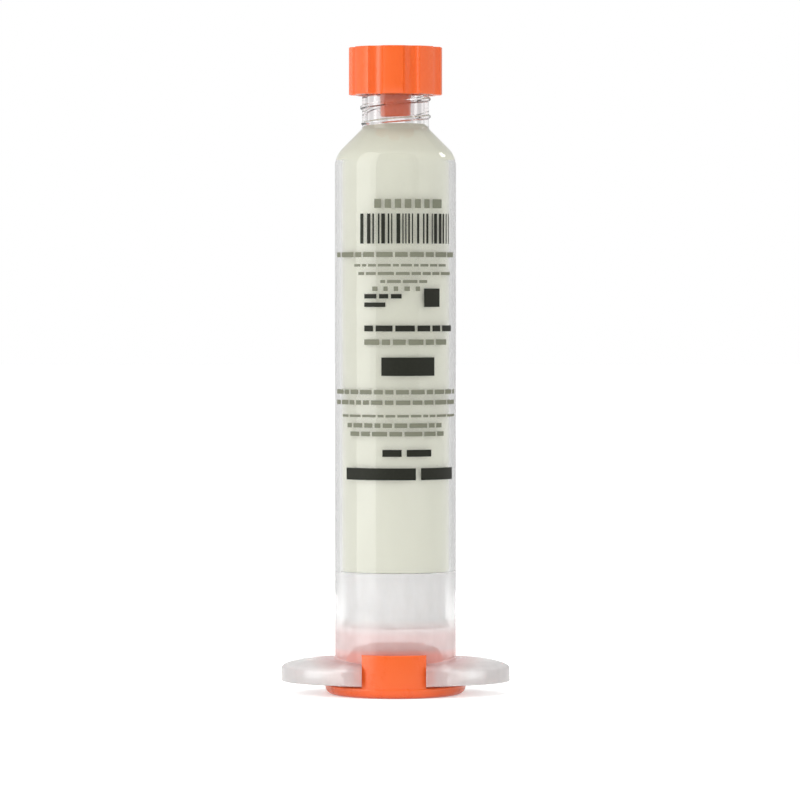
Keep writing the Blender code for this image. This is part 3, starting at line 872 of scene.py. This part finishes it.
# %% A base for the finishes
class Finish(Graph):
    """A material's tree, with helpers that read the object's own coordinates."""

    def __init__(self, material):
        material.use_nodes = True
        super().__init__(material.node_tree)
        self.shader = self.tree.nodes["Principled BSDF"]

    def set(self, **constants):
        for label, value in constants.items():
            self.shader.inputs[label.replace("_", " ")].default_value = value

    def feed(self, label, value):
        self.tree.links.new(value.socket, self.shader.inputs[label])

    def coordinates(self, stretch=(1.0, 1.0, 1.0)):
        """Object coordinates in millimetres, stretched along each axis."""
        place = self.add("ShaderNodeTexCoord", {}, {}, "Object")
        scale = [value / MM for value in stretch]
        return self.add("ShaderNodeMapping", {}, {"Vector": place, "Scale": scale})

    def noise(self, size, stretch=(1.0, 1.0, 1.0), detail=3.0):
        """Soft noise whose lumps are about size millimetres across, from 0 to 1."""
        values = {"Vector": self.coordinates(stretch), "Scale": 1.0 / size, "Detail": detail}
        return self.add("ShaderNodeTexNoise", {}, values, "Fac")

    def blend(self, mask, first, second):
        """A colour between two colours; the first may be a blend itself."""
        first = first if isinstance(first, Sum) else (*first, 1.0)
        values = {0: mask, 6: first, 7: (*second, 1.0)}
        return self.add("ShaderNodeMix", {"data_type": "RGBA"}, values, 2)

    def bump(self, height, strength, distance):
        values = {"Height": height, "Strength": strength, "Distance": distance}
        self.feed("Normal", self.add("ShaderNodeBump", {}, values))

    def mix(self, share, first, second):
        """Two shaders mixed: the share is how much of the second shows."""
        return self.add("ShaderNodeMixShader", {}, {0: share, 1: first, 2: second})

    def end_with(self, shader):
        self.tree.links.new(shader.socket, self.tree.nodes["Material Output"].inputs["Surface"])


# %% [markdown]
# ### Orange moulding
#
# Satin orange plastic: even colour, faint flow clouds, and the very fine grain of a spark-eroded
# mould, which softens the reflections.

# %% Orange plastic
orange = Finish(orange_plastic)
flow = orange.noise(3.2, (1.0, 1.0, 0.6))
grain = orange.noise(0.06, detail=2.0)
orange.feed("Base Color", orange.blend(flow, (0.80, 0.112, 0.012), (0.83, 0.130, 0.016)))
orange.feed("Roughness", 0.22 + 0.08 * flow + 0.04 * grain)
orange.set(IOR=1.5, Specular_IOR_Level=0.55)
orange.set(Subsurface_Weight=0.12, Subsurface_Scale=0.6 * MM, Subsurface_Radius=(1.0, 0.35, 0.15))
orange.bump(grain, 0.12, 0.01 * MM)

# %% [markdown]
# ### Clear polypropylene
#
# The plastic is clear but faintly milky: things that touch the wall look sharp, and what stands
# back from it blurs. The milkiness is a second, cloudy finish mixed into the clear one. How much of
# it shows depends on the place: it is least in the neck, and most at the foot and in the flange.
# Near the orange pieces its colour carries a painted orange glow, and the neck a painted pink
# reflection of the cap and pin.
# Path tracing lets no lamp shine through clear plastic, so for shadow rays the wall is partly
# see-through, and what is inside gets its light.

# %% Clear plastic
clear = Finish(clear_plastic)
haze = clear.noise(1.5, (1.0, 1.0, 0.3))
clear.set(IOR=1.49, Transmission_Weight=1.0)
milk = clear.add("ShaderNodeBsdfPrincipled", {}, {
    "Roughness": 0.4, "Subsurface Weight": 0.5, "Subsurface Scale": 1.2 * MM,
    "Subsurface Radius": (1.0, 1.0, 1.0),
})

# %% Where on the moulding
along_x, along_y, height = clear.axes(clear.add("ShaderNodeTexCoord", {}, {}, "Object"))
from_axis = (along_x * along_x + along_y * along_y) ** 0.5
TUBE_MIDDLE = (BORE + TUBE) / 2
NECK_MIDDLE = (TIP_BORE + NECK) / 2
ABOVE_FLANGE = FLANGE_TOP + 0.8 * MM


def under(level, fade):
    """1 well under a level on the moulding, and 0 from that level up."""
    return ((level - height) / fade).clamped()


def over(level, fade):
    """1 well over a level on the moulding, and 0 from that level down."""
    return ((height - level) / fade).clamped()


wall_middle = TUBE_MIDDLE - (height - (BORE_TOP + TUBE_TOP) / 2)
wall_middle = wall_middle.math("MINIMUM", TUBE_MIDDLE).math("MAXIMUM", NECK_MIDDLE)
outside = from_axis.math("GREATER_THAN", wall_middle)
up_shoulder = over(TUBE_TOP, SHOULDER_TOP - TUBE_TOP)
in_flange = ((from_axis - TUBE) / (0.4 * MM)).clamped() * height.math("LESS_THAN", ABOVE_FLANGE)

# %% Smooth outside, a little rough inside, and milky by zone
TUBE_MILK, NECK_MILK, PISTON_MILK, FOOT_MILK, FLANGE_MILK = 0.08, 0.02, 0.20, 0.22, 0.50
OUTER_ROUGHNESS, INNER_ROUGHNESS, FLANGE_ROUGHNESS = 0.03, 0.10, 0.16
inner_share = (INNER_ROUGHNESS - OUTER_ROUGHNESS) * (1 - outside) * (1 - up_shoulder)
wall_roughness = OUTER_ROUGHNESS + inner_share
clear.feed("Roughness", wall_roughness + (FLANGE_ROUGHNESS - wall_roughness) * in_flange)
by_the_piston = height.math("LESS_THAN", PISTON_FACE)
below_the_piston = under(PISTON_FOOT + 1.5 * MM, 2.5 * MM)
wall_milk = TUBE_MILK + (NECK_MILK - TUBE_MILK) * up_shoulder
wall_milk = outside * (wall_milk + PISTON_MILK * by_the_piston + FOOT_MILK * below_the_piston)
milkiness = wall_milk + (FLANGE_MILK - wall_milk) * in_flange
cloudy = clear.mix(milkiness * (0.9 + 0.2 * haze), Sum(clear, clear.shader.outputs[0]), milk)

# %% Painted orange glow from the caps, in the milk of the plastic near them
# Painted glow: the milk's colour is faintly warm everywhere and turns orange-pink near the disc, the
# plug and the tube's foot. It stands in for orange light from the caps scattered in the plastic.
PAINTED_GLOW_REACH = 3.0 * MM
painted_glow_near_disc = ((DISC + PAINTED_GLOW_REACH - from_axis) / PAINTED_GLOW_REACH).clamped() * in_flange
painted_orange_glow = painted_glow_near_disc + 0.85 * below_the_piston * (1 - in_flange)
painted_glow_near_plug = under(PLUG_TOP + 0.4 * MM, 0.8 * MM) * (1 - in_flange)
milk_colour_with_painted_glow = clear.blend(painted_orange_glow, (0.96, 0.935, 0.92), (0.76, 0.48, 0.465))
milk_colour_with_painted_glow = clear.blend(painted_glow_near_plug, milk_colour_with_painted_glow, (0.97, 0.48, 0.44))
clear.tree.links.new(milk_colour_with_painted_glow.socket, milk.socket.node.inputs["Base Color"])
# Painted reflection: from just above the shoulder up, the clear plastic is tinted pink. This stands in
# for the orange cap and pin reflected in the neck.
painted_reflection_in_neck = over(SHOULDER_TOP + 0.5 * MM, 1.5 * MM)
clear.feed("Base Color", clear.blend(painted_reflection_in_neck, (0.985, 0.987, 0.982), (0.935, 0.89, 0.89)))

# %% Let part of the lamps' light in
LAMP_SHARE = 0.2
through = clear.add("ShaderNodeBsdfTransparent")
let_in = clear.add("ShaderNodeLightPath", {}, {}, "Is Shadow Ray") * (1 - (1 - LAMP_SHARE) * outside)
clear.end_with(clear.mix(let_in, cloudy, through))

# %% [markdown]
# ### Flux, piston and ink
#
# The flux is a pale yellow-green paste that lets light in and looks evenly lit all round. The
# piston is waxy white polyethylene. The ink is dull and nearly black, and its grey is thinner.

# %% Flux paste
paste_look = bpy.data.materials.new("flux_paste")
paste = Finish(paste_look)
clouds = paste.noise(6.0, detail=4.0)
paste.feed("Base Color", paste.blend(clouds, (0.875, 0.880, 0.725), (0.895, 0.900, 0.750)))
paste.feed("Roughness", 0.42 + 0.12 * clouds)
paste.set(Specular_IOR_Level=0.1)

# %% White polyethylene
white_plastic = bpy.data.materials.new("white_polyethylene")
white = Finish(white_plastic)
wax = white.noise(1.8, (1.0, 1.0, 0.5))
white.feed("Base Color", white.blend(wax, (0.930, 0.915, 0.910), (0.955, 0.940, 0.935)))
white.feed("Roughness", 0.38 + 0.10 * wax)
white.set(Subsurface_Weight=0.5, Subsurface_Scale=1.5 * MM, Subsurface_Radius=(1.0, 0.95, 0.9))
white.bump(white.noise(0.12), 0.08, 0.01 * MM)

# %% Printing ink
for material, thin, full in (
    (dark_ink, (0.022, 0.023, 0.016), (0.012, 0.013, 0.009)),
    (grey_ink, (0.230, 0.235, 0.175), (0.150, 0.155, 0.110)),
):
    ink = Finish(material)
    cover = ink.noise(0.25, detail=4.0)
    ink.feed("Base Color", ink.blend(cover, thin, full))
    ink.feed("Roughness", 0.45 + 0.15 * cover)
    ink.set(Specular_IOR_Level=0.15)

# %% Give each piece its finish
for piece, material in (
    (barrel, clear_plastic), (sleeve, paste_look), (hood, paste_look), (piston, white_plastic),
    (end_cap, orange_plastic), (tip_cap, orange_plastic),
):
    piece.data.materials.clear()
    piece.data.materials.append(material)

# %% [markdown]
# ## Tie the pieces to the frame
#
# Each finished piece stands for the plain solid of the same name and moves with its body. The flux
# sleeve gets a mesh of its own, and the share of its length left at the piston's full travel is worked
# out.

# %% Bodies and the piston's travel
for piece, body, slot, solid in (
    (barrel, "barrel_body", "clear_barrel", "barrel"),
    (end_cap, "barrel_body", "orange_cap", "end_cap"),
    (sleeve, "barrel_body", "flux_paste", "flux_paste"),
    (hood, "barrel_body", "flux_paste", "flux_paste"),
    (piston, "piston_body", "white_piston", "piston"),
    (tip_cap, "tip_cap_body", "orange_cap", "tip_cap"),
):
    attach(piece, body)
    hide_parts(solid)
for marks in (dark_print, grey_print):
    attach(marks, "barrel_body")
sleeve_length = BORE_WALL_TOP - PISTON_FACE - WALL_TOUCH
squashed_to = (sleeve_length - TRAVEL) / sleeve_length
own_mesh(sleeve)
print("at full travel the sleeve keeps", round(squashed_to, 4), "of its length")

# %% [markdown]
# ## Floor and light
#
# The studio is white: a white floor and an even surround. The floor and the surround are a little
# brighter where the camera sees them, straight or in a reflection, than as lights. So the picture
# is white to its edges, the plastic isn't washed out, and the floor still holds a shadow. Grey
# cards stand where the camera doesn't look. The clear edges of the barrel bend the view towards
# the two behind it, which draws the tube against the white, and the large one behind the camera
# keeps glare off the front. A tall box at the left front is only for gloss: its reflection is the
# bright stripe down the barrel, and a small one behind on the right puts a glint on the shoulder.
# Three lamps that no surface mirrors give the light itself: one overhead for the shoulder, and two
# in front.

# %% What the camera sees
def seen_by_camera(graph):
    """1 for rays that come from the camera, also by way of gloss or clear plastic."""
    kinds = ("Is Camera Ray", "Is Glossy Ray", "Is Transmission Ray")
    straight_on, by_gloss, through = (graph.add("ShaderNodeLightPath", {}, {}, kind) for kind in kinds)
    return (straight_on + by_gloss + through).clamped()


# %% White floor
floor = brick("studio_floor", (-3.0, -3.0, -0.01), (3.0, 3.0, 0.0))
floor_paint = bpy.data.materials.new("floor_paint")
ground = Finish(floor_paint)
ground.set(Base_Color=(0.90, 0.90, 0.90, 1.0), Roughness=0.8, Specular_IOR_Level=0.1)
ground.set(Emission_Strength=1.0)
FLOOR_LIFT = 0.42
lifted = ground.blend(seen_by_camera(ground), (0.0, 0.0, 0.0), (FLOOR_LIFT,) * 3)
ground.feed("Emission Color", lifted)
floor.data.materials.append(floor_paint)

# %% Surround
world = bpy.data.worlds.new("white_studio")
bpy.context.scene.world = world
world.use_nodes = True
sky = Graph(world.node_tree)
AMBIENT = 0.70
background = world.node_tree.nodes["Background"]
background.inputs["Color"].default_value = (1.0, 1.0, 1.0, 1.0)
strength = AMBIENT + (1 - AMBIENT) * seen_by_camera(sky)
world.node_tree.links.new(strength.socket, background.inputs["Strength"])


# %% Where a studio piece stands
def stand(obj, at, aim):
    """Stand a flat piece at an azimuth, a distance and a height, facing a height on the axis.

    The azimuth is in degrees from the camera's side, and the rest in metres.
    """
    azimuth, distance, height = at
    turned = radians(azimuth)
    obj.location = (sin(turned) * distance, -cos(turned) * distance, height)
    facing = Vector((0, 0, aim)) - obj.location
    obj.rotation_euler = facing.to_track_quat("-Z", "Y").to_euler()


# %% Grey cards
def card(name, at, size, grey, through_plastic):
    """A card that only gloss sees, or gloss and what bends through clear plastic."""
    half_width, thickness = size[0] / 2, 0.5 * MM
    obj = brick(name, (-half_width, 0.0, -thickness), (half_width, size[1], thickness))
    stand(obj, at, aim=0.0)
    paint = bpy.data.materials.new(name)
    shade = Finish(paint)
    shade.set(Base_Color=(0.0, 0.0, 0.0, 1.0), Specular_IOR_Level=0.0, Roughness=1.0)
    shade.set(Emission_Color=(grey, grey, grey, 1.0), Emission_Strength=1.0)
    obj.data.materials.append(paint)
    obj.visible_camera = obj.visible_diffuse = obj.visible_shadow = False
    obj.visible_transmission = through_plastic


card("card_left", at=(-150, 0.22, 0.0), size=(0.17, 0.30), grey=0.76, through_plastic=True)
card("card_right", at=(150, 0.22, 0.0), size=(0.17, 0.30), grey=0.66, through_plastic=True)
card("card_front", at=(0, 1.40, 0.0), size=(3.00, 2.20), grey=0.12, through_plastic=False)


# %% Lamps
def soft_box(name, at, aim, size, radiance):
    """A flat lamp that faces a height on the axis."""
    lamp = bpy.data.lights.new(name, "AREA")
    lamp.shape = "RECTANGLE"
    lamp.size, lamp.size_y = size
    lamp.energy = radiance * pi * size[0] * size[1]
    obj = add_object(name, lamp)
    stand(obj, at, aim)
    return obj


stripe_box = soft_box("stripe_box", at=(-56, 0.20, 0.17), aim=0.17, size=(0.15, 0.34), radiance=2.2)
glint_box = soft_box("glint_box", at=(119, 0.50, 0.35), aim=0.35, size=(0.12, 0.12), radiance=7.0)
for box in (stripe_box, glint_box):
    box.visible_diffuse = box.visible_transmission = False
overhead_box = soft_box("overhead_box", at=(0, 0.09, 0.70), aim=0.08, size=(0.40, 0.20), radiance=3.8)
wash_left = soft_box("wash_left", at=(-50, 0.70, 0.30), aim=0.05, size=(0.40, 0.60), radiance=3.2)
wash_right = soft_box("wash_right", at=(45, 0.70, 0.30), aim=0.05, size=(0.40, 0.60), radiance=1.5)
for box in (overhead_box, wash_left, wash_right):
    box.visible_glossy = box.visible_transmission = False
